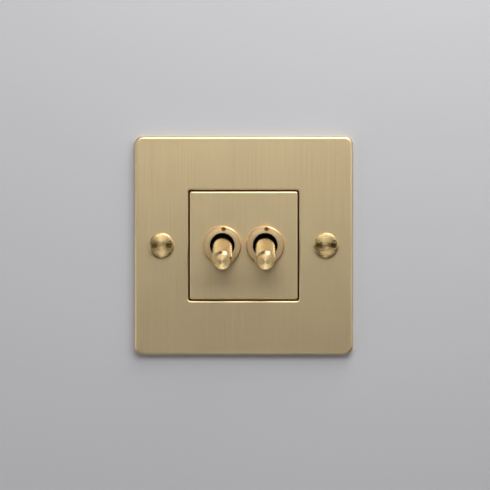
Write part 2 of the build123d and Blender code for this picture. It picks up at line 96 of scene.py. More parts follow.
# %% a socket that can stand in a sum
class Wire:
    """An output socket that adds Math nodes when it is used in an expression."""

    def __init__(self, nodes, socket):
        self.nodes = nodes
        self.socket = socket

    def maths(self, operation, first, second=0.0):
        """One Math node."""
        settings = {"operation": operation}
        return self.nodes.add("ShaderNodeMath", settings, {0: first, 1: second})

    def __add__(self, other):
        return self.maths("ADD", self, other)

    def __sub__(self, other):
        return self.maths("SUBTRACT", self, other)

    def __rsub__(self, other):
        return self.maths("SUBTRACT", other, self)

    def __mul__(self, other):
        return self.maths("MULTIPLY", self, other)

    def __truediv__(self, other):
        return self.maths("DIVIDE", self, other)

    def __rtruediv__(self, other):
        return self.maths("DIVIDE", other, self)

    def __pow__(self, other):
        return self.maths("POWER", self, other)

    def __rpow__(self, other):
        return self.maths("POWER", other, self)

    def __abs__(self):
        return self.maths("ABSOLUTE", self)

    __radd__ = __add__
    __rmul__ = __mul__

    def unit(self):
        """Kept between 0 and 1."""
        return self.nodes.add("ShaderNodeClamp", {}, {"Value": self})


# %% [markdown]
# ## One way to add a node
# Every other node is added by one method: it takes the kind of node, its settings, and the
# values or wires of its sockets. The room's light uses it later as well as the finishes.

# %% a tree that takes nodes
class Nodes:
    """A node tree with one method that adds any node."""

    def __init__(self, tree):
        self.tree = tree

    def add(self, kind, settings, inputs, output=0):
        """Adds a node, its settings before its sockets, and gives one of its outputs."""
        made = self.tree.nodes.new(kind)
        for name, value in settings.items():
            setattr(made, name, value)
        for name, value in inputs.items():
            if isinstance(value, Wire):
                self.tree.links.new(value.socket, made.inputs[name])
            else:
                made.inputs[name].default_value = value
        return Wire(self, made.outputs[output])

    def parts(self, vector):
        """The X, Y and Z of a vector."""
        split = self.add("ShaderNodeSeparateXYZ", {}, {"Vector": vector})
        outputs = split.socket.node.outputs
        return [Wire(self, outputs[letter]) for letter in "XYZ"]

    def joined(self, x, y, z):
        """A vector from three numbers."""
        return self.add("ShaderNodeCombineXYZ", {}, {"X": x, "Y": y, "Z": z})


# %% a finish: one material with its shader
class Finish(Nodes):
    """A material whose constants are set on its shader and whose changes are wired to it."""

    def __init__(self, name, constants):
        self.material = bpy.data.materials.new(name)
        self.material.use_nodes = True
        super().__init__(self.material.node_tree)
        self.shader = self.tree.nodes["Principled BSDF"]
        for socket, value in constants.items():
            self.shader.inputs[socket].default_value = value

    def feed(self, socket, wire):
        """Links what changes over the surface to one of the shader's sockets."""
        self.tree.links.new(wire.socket, self.shader.inputs[socket])

    def vector(self, operation, inputs, output=0):
        """One Vector Math node."""
        return self.add("ShaderNodeVectorMath", {"operation": operation}, inputs, output)

    def place(self):
        """The point in the piece's own space, in millimetres."""
        point = self.add("ShaderNodeTexCoord", {}, {}, "Object")
        return self.vector("SCALE", {0: point, "Scale": 1 / MM})

    def noise(self, vector, size=1.0, detail=2.0, rough=0.5):
        """Soft noise around 0.5, with lumps about size across in the vector's units."""
        inputs = {"Vector": vector, "Scale": 1 / size, "Detail": detail, "Roughness": rough}
        return self.add("ShaderNodeTexNoise", {}, inputs, "Fac")

    def blend(self, amount, first, second):
        """A colour between two colours."""
        inputs = {"Factor": amount, 6: first, 7: second}
        return self.add("ShaderNodeMix", {"data_type": "RGBA"}, inputs, 2)

    def bump(self, height, strength, distance):
        """A normal bumped by a height, with its distance in millimetres."""
        inputs = {"Height": height, "Strength": strength, "Distance": distance * MM}
        return self.add("ShaderNodeBump", {}, inputs)

    def tilted(self, direction, amount):
        """The surface normal, leaned along a direction of the piece's own space."""
        settings = {"vector_type": "VECTOR", "convert_from": "OBJECT", "convert_to": "WORLD"}
        turned = self.add("ShaderNodeVectorTransform", settings, {"Vector": direction})
        lean = self.vector("SCALE", {0: turned, "Scale": amount})
        normal = self.add("ShaderNodeNewGeometry", {}, {}, "Normal")
        leaned = self.vector("ADD", {0: normal, 1: lean})
        return self.vector("NORMALIZE", {0: leaned})


def rgb(red, green, blue):
    """An opaque linear colour."""
    return (red, green, blue, 1.0)


print("sockets take +, -, *, / and **")

# %% [markdown]
# ## Brushed brass
# The plate and its insert are drawn up and down over a belt, which leaves thousands of fine
# upright scratches. Each scratch is a tiny gutter that leans the surface a little to the left
# or right, so light is spread sideways while its fall from top to bottom stays clear. An
# anisotropic shader could do that too, but leaning the normal by a noise that is stretched
# upright also shows the scratches themselves, and it bakes well. The walls of the narrow gap
# round the insert get painted shade, a near-black brown, so the gap reads as a line. The walls of the narrow gap
# round the insert never meet the belt and stay dull and dark, so the gap reads as a line.

# %% the tones of the brushed pieces
BRASS = rgb(0.86, 0.69, 0.42)
BRASS_WARM = rgb(0.79, 0.61, 0.34)
# Painted shade for the walls of the gap round the insert.
GAP_PAINTED_SHADE = rgb(0.16, 0.10, 0.05)
GAP_REACH = 20.6
GAP_FRONT = -2.3
FINE_STRETCH = 0.0025
LINE_STRETCH = 0.003


def painted_gap_shade(x, y, z):
    """Marks the walls of the gap, which get painted shade: inside the plate's opening, and behind its soft edge.
    """
    reach = x.maths("MAXIMUM", abs(x), abs(z))
    return ((GAP_REACH - reach) * 10).unit() * ((y - GAP_FRONT) * 3).unit()


print("the gap runs in from", GAP_REACH, "mm")


# %% upright brushed brass
def brushed_brass(name, seed):
    """Satin brass with upright scratches."""
    finish = Finish(name, {"Metallic": 1.0})
    x, y, z = finish.parts(finish.place())
    fine_place = finish.joined(x + seed, y, z * FINE_STRETCH)
    line_place = finish.joined(x + 3 * seed, y, z * LINE_STRETCH)
    cloud_place = finish.joined(x + 5 * seed, y, z * 0.5)
    fine = finish.noise(fine_place, size=0.05, detail=3.0, rough=0.7)
    lines = finish.noise(line_place, size=0.2, detail=3.0, rough=0.6)
    cloud = finish.noise(cloud_place, size=14.0, detail=1.0)
    streak = (lines - 0.5) * 1.6 + (fine - 0.5) * 2.6
    colour = finish.blend((streak * 0.8 + 0.5).unit(), BRASS_WARM, BRASS)
    # The gap's walls get painted shade in place of the brass colour.
    finish.feed("Base Color", finish.blend(painted_gap_shade(x, y, z), colour, GAP_PAINTED_SHADE))
    finish.feed("Roughness", 0.4 + (cloud - 0.5) * 0.05 + streak * 0.05)
    lean = (fine - 0.5) * 0.75 + (lines - 0.5) * 0.22
    finish.feed("Normal", finish.tilted((1.0, 0.0, 0.0), lean))
    return finish.material


plate_finish = brushed_brass("brushed_brass_plate", 0.0)
insert_finish = brushed_brass("brushed_brass_insert", 31.0)
print("brushed finishes:", plate_finish.name, insert_finish.name)

# %% [markdown]
# ## Turned brass
# The collars, the lever tips and the screw heads come off a lathe. The tool leaves a spiral of
# fine rings, so every point leans towards or away from the centre. Light then gathers in two
# bright fans on opposite sides of a face, in line with the lamp. The lean is worked out from
# the distance to the turning axis, so the fans move with the light, as they do on the real
# thing, which a painted pattern would not do.

# %% how far a point is from the turning axis
def from_axis(finish, point, centre, axis):
    """The direction out from a turning axis, the distance to it and the place along it."""
    offset = finish.vector("SUBTRACT", {0: point, 1: tuple(c / MM for c in centre)})
    along = finish.vector("DOT_PRODUCT", {0: offset, 1: tuple(axis)}, "Value")
    on_axis = finish.vector("SCALE", {0: finish.joined(*axis), "Scale": along})
    outward = finish.vector("SUBTRACT", {0: offset, 1: on_axis})
    distance = finish.vector("LENGTH", {0: outward}, "Value")
    return finish.vector("NORMALIZE", {0: outward}), distance, along


print("distances are in millimetres")

# %% rings round an axis
TURNED = (rgb(0.88, 0.67, 0.36), rgb(0.74, 0.52, 0.23))


def turned_brass(name, centre, axis, lean, rough, tones=TURNED, recess=None, cut=None):
    """Lathe-turned brass, with painted shade in the cut colour wherever a recess function gives 1."""
    finish = Finish(name, {"Metallic": 1.0})
    point = finish.place()
    outward, distance, along = from_axis(finish, point, centre, axis)
    ring_place = finish.joined(distance, along, 0.0)
    band_place = finish.joined(distance, along, 5.0)
    rings = finish.noise(ring_place, size=0.03, detail=2.0, rough=0.6)
    bands = finish.noise(band_place, size=0.25, detail=2.0)
    smudge = finish.noise(point, size=2.5, detail=2.0)
    light, dark = tones
    colour = finish.blend((bands + (rings - 0.5) * 0.6).unit(), dark, light)
    amount = (rings - 0.5) * lean
    if recess:
        inside = recess(finish, point, distance, along)
        # Painted shade: recesses get a darker colour in place of the turned brass.
        colour = finish.blend(inside, colour, cut)
        amount = amount * (1 - inside * 0.8)
    finish.feed("Base Color", colour)
    finish.feed("Roughness", rough + (smudge - 0.5) * 0.06 + (bands - 0.5) * 0.05)
    finish.feed("Normal", finish.tilted(outward, amount))
    return finish.material


print("turned tones:", TURNED)

# %% [markdown]
# ## Drilled and milled recesses
# The pin-key hole in each collar and the two deep ends of each screw's slot never see the
# polishing wheel, so they stay smoother than the turned face round them. Their darker colour is
# painted shade. A mask says where a recess is, from the same sizes that the CAD cuts it with.

# %% mark the key hole and the slot's ends
KEY_HOLE_PLACE = 5.95
KEY_HOLE_RADIUS = 0.8
KEY_HOLE_ANGLE = math.radians(4.7)
POCKET_REACH = 4.05
POCKET_FRONT = -1.05
POCKET_BACK = -0.4
# Painted shade for the key hole and the slot's deep ends.
KEY_HOLE_SHADE = rgb(0.50, 0.26, 0.08)
SLOT_POCKET_SHADE = rgb(0.22, 0.14, 0.035)


def key_hole(toggle_x):
    """Marks the inside of a collar's pin-key hole, which gets painted shade."""
    hole_x = toggle_x / MM + KEY_HOLE_PLACE * math.sin(KEY_HOLE_ANGLE)
    hole_z = KEY_HOLE_PLACE * math.cos(KEY_HOLE_ANGLE)

    def inside(finish, point, distance, along):
        x, y, z = finish.parts(point)
        away = ((x - hole_x) ** 2 + (z - hole_z) ** 2) ** 0.5
        return ((KEY_HOLE_RADIUS + 0.04 - away) * 50).unit()

    return inside


def slot_pocket(finish, point, distance, along):
    """Marks the two deep ends of a fixing screw's slot, which get painted shade."""
    deep = ((along - POCKET_FRONT) * 20).unit() * ((POCKET_BACK - along) * 20).unit()
    return deep * ((POCKET_REACH - distance) * 20).unit()


print("key hole at", KEY_HOLE_PLACE, "mm from the collar's centre")

# %% one finish for each turned piece
DEPTH_AXIS = Vector((0.0, 1.0, 0.0))
COLLAR = (rgb(0.95, 0.71, 0.40), rgb(0.86, 0.59, 0.29))
collar_finish = {}
tip_finish = {}
screw_finish = {}
for side in SIDES:
    pivot, direction = lever_axis(side)
    collar_finish[side] = turned_brass(
        side + "_collar_turned", Vector((pivot.x, plate_front, 0.0)), DEPTH_AXIS, 1.1, 0.36,
        tones=COLLAR, recess=key_hole(pivot.x), cut=KEY_HOLE_SHADE,
    )
    tip_finish[side] = turned_brass(side + "_tip_turned", pivot, direction, 2.0, 0.22)
    screw_finish[side] = turned_brass(
        side + "_screw_turned", screw_place(side), DEPTH_AXIS, 1.6, 0.24,
        recess=slot_pocket, cut=SLOT_POCKET_SHADE,
    )
print("turned finishes:", len(collar_finish) + len(tip_finish) + len(screw_finish))

# %% [markdown]
# ## Knurled brass
# A knurling wheel presses two crossing sets of grooves into the barrel and leaves rows of small
# pyramids. Their flattened tips are burnished bright by fingers. The mesh has the pyramids
# themselves, and the finish darkens with depth below the tips: partly a darker film in the
# grooves, partly painted shade. The barrel is a slight taper, wider at its outer end, with the
# CAD barrel's sizes.

# %% the barrel's finish
BARREL_START = 1.5
BARREL_END = 14.35
ROOT_RADIUS = 3.55
TIP_RADIUS = 3.75
SWELL = (TIP_RADIUS - ROOT_RADIUS) / (BARREL_END - BARREL_START)
KNURL_DEPTH = 0.4
CREST = rgb(0.98, 0.86, 0.60)
# The dark groove colour is partly a film and partly painted shade.
GROOVE_FILM_AND_SHADE = rgb(0.18, 0.12, 0.05)


def knurled_brass(name, centre, axis):
    """Brass that is bright on the knurl's tips and darker in its grooves, partly a film and partly painted shade.
    """
    finish = Finish(name, {"Metallic": 1.0})
    point = finish.place()
    outward, distance, along = from_axis(finish, point, centre, axis)
    crest = (along - BARREL_START) * SWELL + ROOT_RADIUS
    depth = ((crest - distance) / KNURL_DEPTH).unit()
    grit = finish.noise(point, size=0.12, detail=3.0)
    # Darker with depth below the tips: partly a film in the grooves, partly painted shade.
    film_and_shade = (depth + (grit - 0.5) * 0.35).unit()
    finish.feed("Base Color", finish.blend(film_and_shade ** 1.4, CREST, GROOVE_FILM_AND_SHADE))
    finish.feed("Roughness", 0.22 + depth * 0.16 + (grit - 0.5) * 0.06)
    finish.feed("Normal", finish.tilted(outward, (grit - 0.5) * 0.15))
    return finish.material


knurl_finish = {side: knurled_brass(side + "_knurled", *lever_axis(side)) for side in SIDES}
print("knurl depth", KNURL_DEPTH, "mm")

# %% [markdown]
# ## The other metals
# Behind the plate are zinc-plated steel, bright stamped terminal brass, rolled copper, silver
# contact buttons and ground steel. Zinc plating is a pale blue-grey with cloudy patches where
# it dried. Stamped brass shows faint rolling lines. One function makes them all, from two tones
# and the size of their marks. The front of the carrier gets black painted shade, so that nothing
# shines through the gap round the insert.

# %% plated, rolled and ground metals
# Black painted shade on the carrier's front, inside the gap's shade.
SHADE_DEPTH = 0.05
BLACK_PAINTED_SHADE = rgb(0.012, 0.011, 0.010)


def worked_metal(name, light, dark, rough, cloud_size, line_stretch, bump, painted=False):
    """A metal with cloudy tone, rolling lines along Z and fine grain, with black painted shade in front or not."""
    finish = Finish(name, {"Metallic": 1.0})
    point = finish.place()
    x, y, z = finish.parts(point)
    clouds = finish.noise(point, size=cloud_size, detail=3.0)
    lines = finish.noise(finish.joined(x, y, z * line_stretch), size=0.12, detail=2.0)
    grain = finish.noise(point, size=0.08, detail=2.0)
    tone = ((clouds - 0.5) * 1.6 + (lines - 0.5) * 0.7 + 0.5).unit()
    colour = finish.blend(tone, dark, light)
    if painted:
        # Painted shade: the front turns black and non-metallic.
        paint = ((SHADE_DEPTH - y) * 100).unit()
        colour = finish.blend(paint, colour, BLACK_PAINTED_SHADE)
        finish.feed("Metallic", 1 - paint)
    finish.feed("Base Color", colour)
    finish.feed("Roughness", rough + (clouds - 0.5) * 0.16 + (lines - 0.5) * 0.08)
    finish.feed("Normal", finish.bump(lines * 0.6 + grain * 0.4, bump, 0.02))
    return finish.material


ZINC = {
    "light": rgb(0.60, 0.61, 0.62), "dark": rgb(0.42, 0.44, 0.46),
    "rough": 0.36, "cloud_size": 3.0, "line_stretch": 0.3, "bump": 0.5,
}
carrier_finish = worked_metal("zinc_plate_shade_front", **ZINC, painted=True)
print("painted to", SHADE_DEPTH, "mm behind the wall plane")

# %% one finish for each metal slot
metals = {
    "zinc_steel": worked_metal("zinc_plate", **ZINC),
    "terminal_brass": worked_metal(
        "stamped_brass", light=rgb(0.83, 0.64, 0.33), dark=rgb(0.66, 0.47, 0.21),
        rough=0.28, cloud_size=2.0, line_stretch=0.05, bump=0.5,
    ),
    "rocker_copper": worked_metal(
        "rolled_copper", light=rgb(0.86, 0.50, 0.35), dark=rgb(0.66, 0.34, 0.22),
        rough=0.27, cloud_size=2.0, line_stretch=0.05, bump=0.4,
    ),
    "contact_silver": worked_metal(
        "silver_contact", light=rgb(0.90, 0.89, 0.86), dark=rgb(0.70, 0.69, 0.66),
        rough=0.3, cloud_size=0.6, line_stretch=1.0, bump=0.6,
    ),
    "stem_steel": worked_metal(
        "ground_steel", light=rgb(0.56, 0.56, 0.57), dark=rgb(0.38, 0.38, 0.40),
        rough=0.3, cloud_size=1.0, line_stretch=1.0, bump=0.5,
    ),
}
print("metals:", sorted(metals))

# %% [markdown]
# ## Black mouldings
# The switch modules are moulded in a black thermoset with a spark-eroded texture: a fine, even
# grain that breaks up the shine. The bowl round the lever's root is smoother nylon, and its
# pivot pin and bushing are steel. All three are near-black, which is painted shade in the
# collar's deep bore.

# %% black plastics, and near-black painted shade in the collar
def moulded_black(name, grain_size, strength, rough, tone, gloss):
    """A black moulding with a spark-eroded grain and faint flow marks."""
    finish = Finish(name, {"Metallic": 0.0, "Specular IOR Level": gloss})
    point = finish.place()
    grain = finish.noise(point, size=grain_size, detail=3.0, rough=0.6)
    flow = finish.noise(point, size=6.0, detail=2.0)
    dark = rgb(tone, tone, tone)
    pale = rgb(tone * 1.7, tone * 1.7, tone * 1.8)
    finish.feed("Base Color", finish.blend(((grain + flow) * 0.5).unit(), dark, pale))
    finish.feed("Roughness", rough + (flow - 0.5) * 0.14 + (grain - 0.5) * 0.12)
    finish.feed("Normal", finish.bump(grain, strength, 0.04))
    return finish.material


blacks = {
    "black_moulding": moulded_black("spark_grained_moulding", 0.28, 0.9, 0.46, 0.018, 0.4),
    # Painted shade: the nylon bowl and the steel pin and bushing are near-black in the collar's bore.
    "black_nylon": moulded_black("black_nylon", 0.15, 0.2, 0.8, 0.001, 0.03),
    "black_steel": moulded_black("near_black_shade_steel", 0.1, 0.3, 0.8, 0.001, 0.03),
}
print("blacks:", sorted(blacks))

# %% [markdown]
# ## Dressing the CAD solids
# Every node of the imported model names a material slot. Most slots map to one finish; the plate,
# the insert, the carrier and the turned pieces have their own, because their grain or paint
# follows their own shape.

# %% give every node its finish
finishes = {**metals, **blacks, "screw_brass": screw_finish["left"]}
own_finish = {
    "cover_plate": plate_finish,
    "insert_panel": insert_finish,
    "carrier_frame": carrier_finish,
}
for side in SIDES:
    own_finish[side + "_collar"] = collar_finish[side]
    own_finish[side + "_lever_tip"] = tip_finish[side]
    own_finish[side + "_lever_barrel"] = knurl_finish[side]
slot_of = {part["node"]: part["material_slot"] for part in frame["record"]["subparts"]}
for node, cad_object in frame["nodes"].items():
    finish = own_finish.get(node) or finishes[slot_of[node]]
    cad_object.data.materials.clear()
    cad_object.data.materials.append(finish)
print("dressed", len(frame["nodes"]), "nodes")

# %% [markdown]
# ## Tools for turned meshes
# A lathe part is an outline spun round an axis. It is easiest to make in its own frame, where Z
# is the axis and lengths are millimetres. A matrix then carries the finished mesh to its place
# on the switch, and it rides on the body that it belongs to.

# %% from a bmesh to a piece
def as_object(name, shape):
    """Turns a bmesh into an object in the scene."""
    mesh = bpy.data.meshes.new(name)
    shape.to_mesh(mesh)
    shape.free()
    made = bpy.data.objects.new(name, mesh)
    bpy.context.scene.collection.objects.link(made)
    return made


def axis_matrix(origin, direction):
    """Takes Z to a direction and the origin to a point in metres, and shrinks mm to metres."""
    turn = direction.to_track_quat("Z", "X").to_matrix().to_4x4()
    return Matrix.Translation(origin) @ turn @ Matrix.Scale(MM, 4)


def finished_piece(name, shape, matrix, material, body, node):
    """Places a bmesh as a piece that rides on a body and stands for a CAD node."""
    shape.transform(matrix)
    bmesh.ops.recalc_face_normals(shape, faces=shape.faces)
    piece = as_object(name, shape)
    piece.data.materials.append(material)
    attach(piece, body)
    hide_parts(node)
    return piece


# %% spin an outline
def spin(shape, outline, steps):
    """Adds a surface of revolution to a bmesh; a radius of 0 closes it with a fan."""
    angles = [math.tau * i / steps for i in range(steps)]
    rings = []
    for radius, height in outline:
        spots = [(radius * math.cos(a), radius * math.sin(a), height) for a in angles]
        if radius == 0:
            spots = spots[:1]
        rings.append([shape.verts.new(spot) for spot in spots])
    for first, second in zip(rings, rings[1:]):
        for i in range(steps):
            around = ((first, i), (first, i + 1), (second, i + 1), (second, i))
            corners = [ring[k % len(ring)] for ring, k in around]
            shape.faces.new(list(dict.fromkeys(corners)))


# %% trim a tube and close its ends
def trim(shape, low, high):
    """Cuts a mesh off square at two heights and leaves both ends open."""
    for height, normal in ((low, -1), (high, 1)):
        geometry = shape.verts[:] + shape.edges[:] + shape.faces[:]
        plane = {"plane_co": (0, 0, height), "plane_no": (0, 0, normal)}
        bmesh.ops.bisect_plane(shape, geom=geometry, dist=1e-5, clear_outer=True, **plane)


def at_height(edge, height):
    """Whether an edge is open and lies at a height."""
    return edge.is_boundary and all(abs(v.co.z - height) < 1e-3 for v in edge.verts)


def close_end(shape, height, step, inset):
    """Bevels an open end inwards by inset and closes it with a flat face."""
    rim = [edge for edge in shape.edges if at_height(edge, height)]
    grown = bmesh.ops.extrude_edge_only(shape, edges=rim)["geom"]
    for item in grown:
        if isinstance(item, bmesh.types.BMVert):
            radius = math.hypot(item.co.x, item.co.y)
            scale = (radius - inset) / radius
            item.co = (item.co.x * scale, item.co.y * scale, item.co.z + step)
    edges = [item for item in grown if isinstance(item, bmesh.types.BMEdge)]
    bmesh.ops.holes_fill(shape, edges=edges, sides=0)


print("ends are closed with one flat face")

# %% [markdown]
# ## The knurled barrels
# A displacement map would round the pyramids off, so the knurl is laid out directly. Groove
# crossings form a staggered lattice on the barrel, and each diamond between four crossings
# carries a flat-topped pyramid. The lattice runs past both ends and is then trimmed square,
# which leaves the cut pyramids of the real thing.

# %% places on the barrel
# Crossings lie half a step apart round the barrel and half a row apart along it.
KNURL_STARTS = 26
KNURL_PITCH = 2.4
FLAT_SHARE = 0.26
HALF_STEPS = 2 * KNURL_STARTS
HALF_STEP = math.tau / HALF_STEPS
HALF_ROW = KNURL_PITCH / 2
KNURL_ROWS = math.ceil((BARREL_END - BARREL_START) / HALF_ROW) + 3


def row_height(row):
    """How far along the barrel a row of crossings lies."""
    return BARREL_START + (row - 1) * HALF_ROW


def barrel_point(half_steps, height, depth):
    """A point on the barrel, a little below the pyramids' tips."""
    angle = half_steps * HALF_STEP
    radius = ROOT_RADIUS + SWELL * (height - BARREL_START) - depth
    return Vector((radius * math.cos(angle), radius * math.sin(angle), height))


print("knurl:", KNURL_STARTS, "starts each way,", KNURL_ROWS, "rows")

# %% lay out the pyramids
def add_pyramid(shape, crossings, row, middle):
    """Adds the pyramid between four groove crossings: a flat top and four slopes."""
    around = ((row, middle - 1), (row - 1, middle), (row, middle + 1), (row + 1, middle))
    outer = [crossings[r, place % HALF_STEPS] for r, place in around]
    tops = []
    for aside, up in ((-1, 0), (0, -1), (1, 0), (0, 1)):
        height = row_height(row) + up * FLAT_SHARE * HALF_ROW
        tops.append(shape.verts.new(barrel_point(middle + aside * FLAT_SHARE, height, 0)))
    shape.faces.new(tops)
    for i in range(4):
        j = (i + 1) % 4
        shape.faces.new((outer[i], outer[j], tops[j], tops[i]))


def lay_knurl(shape):
    """Adds rows of pyramids that run past both ends of the barrel."""
    crossings = {}
    for row in range(-2, KNURL_ROWS + 2):
        for start in range(KNURL_STARTS):
            place = 2 * start + row % 2
            groove = barrel_point(place, row_height(row), KNURL_DEPTH)
            crossings[row, place] = shape.verts.new(groove)
    for row in range(-1, KNURL_ROWS + 1):
        for start in range(KNURL_STARTS):
            add_pyramid(shape, crossings, row, 2 * start + (row + 1) % 2)


# %% make both barrels
ROOT_BEVEL = 0.18
TIP_INSET = 0.3


def knurled_barrel(side):
    """One barrel with its own rows of pyramids, standing for the plain CAD barrel."""
    shape = bmesh.new()
    lay_knurl(shape)
    trim(shape, BARREL_START + ROOT_BEVEL, BARREL_END)
    close_end(shape, BARREL_START + ROOT_BEVEL, -ROOT_BEVEL, ROOT_BEVEL)
    close_end(shape, BARREL_END, 0.0, TIP_INSET)
    return finished_piece(
        side + "_knurled_barrel", shape, axis_matrix(*lever_axis(side)), knurl_finish[side],
        side + "_lever", side + "_lever_barrel",
    )


for side in SIDES:
    barrel = knurled_barrel(side)
    print(barrel.name, len(barrel.data.polygons), "faces")

# %% [markdown]
# ## The fixing screws
# An M3.5 screw with a wide flat head. Its slot is closed at the rim: two deep ends take a
# forked driver, with a shallow bridge between them. The head is spun and its slot is cut with
# Booleans, which keep the corners crisp. The sizes are those of the CAD screw.

# %% spin the head
HEAD_RADIUS = 4.55
HEAD_HEIGHT = 1.6
HEAD_ROUND = 0.45
ROUND_STEPS = 8
HEAD_STEPS = 128


def head_outline():
    """The head's outline, from the middle of its underside to the middle of its face."""
    outline = [(0, 0), (HEAD_RADIUS, 0), (HEAD_RADIUS, HEAD_HEIGHT - HEAD_ROUND)]
    for i in range(1, ROUND_STEPS + 1):
        angle = math.pi / 2 * i / ROUND_STEPS
        radius = HEAD_RADIUS - HEAD_ROUND * (1 - math.cos(angle))
        outline.append((radius, HEAD_HEIGHT - HEAD_ROUND * (1 - math.sin(angle))))
    outline.append((0, HEAD_HEIGHT))
    return outline


print("head outline:", len(head_outline()), "points")

# %% cut the slot
SLOT_LENGTH = 7.4
SLOT_WIDTH = 1.7
SLOT_DEPTH = 1.1
BRIDGE_LENGTH = 3.25
BRIDGE_DEPTH = 0.4
BRIDGE_OVERLAP = 0.1
SLOT_SPANS = (
    (-SLOT_LENGTH / 2, -BRIDGE_LENGTH / 2, SLOT_DEPTH),
    (BRIDGE_LENGTH / 2, SLOT_LENGTH / 2, SLOT_DEPTH),
    (-BRIDGE_LENGTH / 2 - BRIDGE_OVERLAP, BRIDGE_LENGTH / 2 + BRIDGE_OVERLAP, BRIDGE_DEPTH),
)


def slot_cutter(start, end, depth):
    """A box that cuts one span of the slot, open at the head's face."""
    low = Vector((start, -SLOT_WIDTH / 2, HEAD_HEIGHT - depth))
    high = Vector((end, SLOT_WIDTH / 2, HEAD_HEIGHT + 1))
    shape = bmesh.new()
    bmesh.ops.create_cube(shape, size=1.0)
    for v in shape.verts:
        v.co = Vector(low[i] + (v.co[i] + 0.5) * (high[i] - low[i]) for i in range(3))
    return as_object("slot_cutter", shape)


def slotted_head():
    """The mesh of a head with its slot cut."""
    shape = bmesh.new()
    spin(shape, head_outline(), HEAD_STEPS)
    bmesh.ops.recalc_face_normals(shape, faces=shape.faces)
    head = as_object("screw_head", shape)
    cutters = [slot_cutter(*span) for span in SLOT_SPANS]
    for cutter in cutters:
        modifier = head.modifiers.new("cut", "BOOLEAN")
        modifier.operation = "DIFFERENCE"
        modifier.solver = "EXACT"
        modifier.object = cutter
    depsgraph = bpy.context.evaluated_depsgraph_get()
    cut = bpy.data.meshes.new_from_object(head.evaluated_get(depsgraph))
    for scrap in (head, *cutters):
        bpy.data.objects.remove(scrap)
    return cut


print("slot", SLOT_LENGTH, "by", SLOT_WIDTH, "mm")

# %% [markdown]
# ## The screws' thread
# Rings stacked along the shank would look like a thread from afar, but would not climb. Here
# the shank is a ridged tube whose rows rise by one pitch per turn and join one row higher where
# the turn closes, so the crest is a true helix. It runs past both ends and is trimmed.

# %% a threaded tube
THREAD_PITCH = 0.6
TURN_STEPS = 40
SHANK_RADIUS = 1.75
THREAD_ROOT = SHANK_RADIUS - 0.36
RIDGE = (
    (0.0, THREAD_ROOT), (0.12, THREAD_ROOT), (0.44, SHANK_RADIUS), (0.56, SHANK_RADIUS),
    (0.88, THREAD_ROOT),
)


def threaded_tube(shape, low, high):
    """Adds a screw thread between two heights to a bmesh, running a little past both."""
    rows = len(RIDGE) * (math.ceil((high - low) / THREAD_PITCH) + 2)
    columns = []
    for i in range(TURN_STEPS):
        angle = math.tau * i / TURN_STEPS
        climb = low + THREAD_PITCH * (i / TURN_STEPS - 1)
        columns.append([])
        for row in range(rows):
            share, radius = RIDGE[row % len(RIDGE)]
            height = climb + (row // len(RIDGE) + share) * THREAD_PITCH
            spot = (radius * math.cos(angle), radius * math.sin(angle), height)
            columns[i].append(shape.verts.new(spot))
    for i, here in enumerate(columns):
        there = columns[(i + 1) % TURN_STEPS]
        shift = len(RIDGE) if i == TURN_STEPS - 1 else 0
        for row in range(rows - 1 - shift):
            far = row + shift
            shape.faces.new((here[row], there[far], there[far + 1], here[row + 1]))


print("thread pitch", THREAD_PITCH, "mm")

# %% head, neck and thread in one piece
SCREW_LENGTH = 25.0
SCREW_CHAMFER = 0.5
NECK_RADIUS = 1.5
NECK_END = -3.2
NECK_STEPS = 40
NECK_TUCK = 0.3
HEAD_TUCK = 0.05
THREAD_END = NECK_END - 0.05
THREAD_INSET = 0.1


def fixing_screw(side):
    """One screw; Z points out of the wall, and the head's underside is at 0."""
    shape = bmesh.new()
    threaded_tube(shape, -SCREW_LENGTH, NECK_END)
    trim(shape, -SCREW_LENGTH + SCREW_CHAMFER, THREAD_END)
    close_end(shape, -SCREW_LENGTH + SCREW_CHAMFER, -SCREW_CHAMFER, SCREW_CHAMFER)
    close_end(shape, THREAD_END, NECK_END - THREAD_END, THREAD_INSET)
    neck = [(NECK_RADIUS, NECK_END - NECK_TUCK), (NECK_RADIUS, HEAD_TUCK)]
    spin(shape, neck, NECK_STEPS)
    shape.from_mesh(slotted_head())
    upright = Matrix.Rotation(math.radians(90), 4, "X")
    matrix = Matrix.Translation(screw_place(side)) @ upright @ Matrix.Scale(MM, 4)
    return finished_piece(
        side + "_fixing_screw", shape, matrix, screw_finish[side],
        "switch_base", "fixing_screws",
    )


screws = [fixing_screw(side) for side in SIDES]
for screw in screws:
    print(screw.name, len(screw.data.polygons), "faces")

# %% [markdown]
# ## Smooth where it is round
# The spun and threaded meshes are made of flat strips. Shading them smooth, but keeping every
# edge sharper than 35 degrees crisp, makes the rims round and leaves the slot and the thread
# clean. The knurl stays flat-shaded, since each pyramid's slope really is flat.

# %% shade the screws
CRISP_ANGLE = math.radians(35)
for screw in screws:
    screw.data.shade_smooth()
    screw.data.set_sharp_from_angle(angle=CRISP_ANGLE)
print("shaded", len(screws), "screws")

# %% [markdown]
# ## A painted wall
# The switch is shown on a plain painted wall. The wall is a thin panel with an opening behind
# the plate, so from the back the modules and terminals can be seen.

# %% matt paint
def wall_paint():
    """Matt pale paint with the faint orange peel of a roller."""
    finish = Finish("pale_wall_paint", {"Metallic": 0.0, "Specular IOR Level": 0.2})
    point = finish.place()
    peel = finish.noise(point, size=1.6, detail=3.0)
    cloud = finish.noise(point, size=60.0, detail=1.0)
    tone = ((peel - 0.5) * 0.3 + (cloud - 0.5) * 0.5 + 0.5).unit()
    colour = finish.blend(tone, rgb(0.55, 0.55, 0.57), rgb(0.57, 0.57, 0.59))
    finish.feed("Base Color", colour)
    finish.feed("Roughness", 0.8 + (peel - 0.5) * 0.1)
    finish.feed("Normal", finish.bump(peel, 0.12, 0.05))
    return finish.material


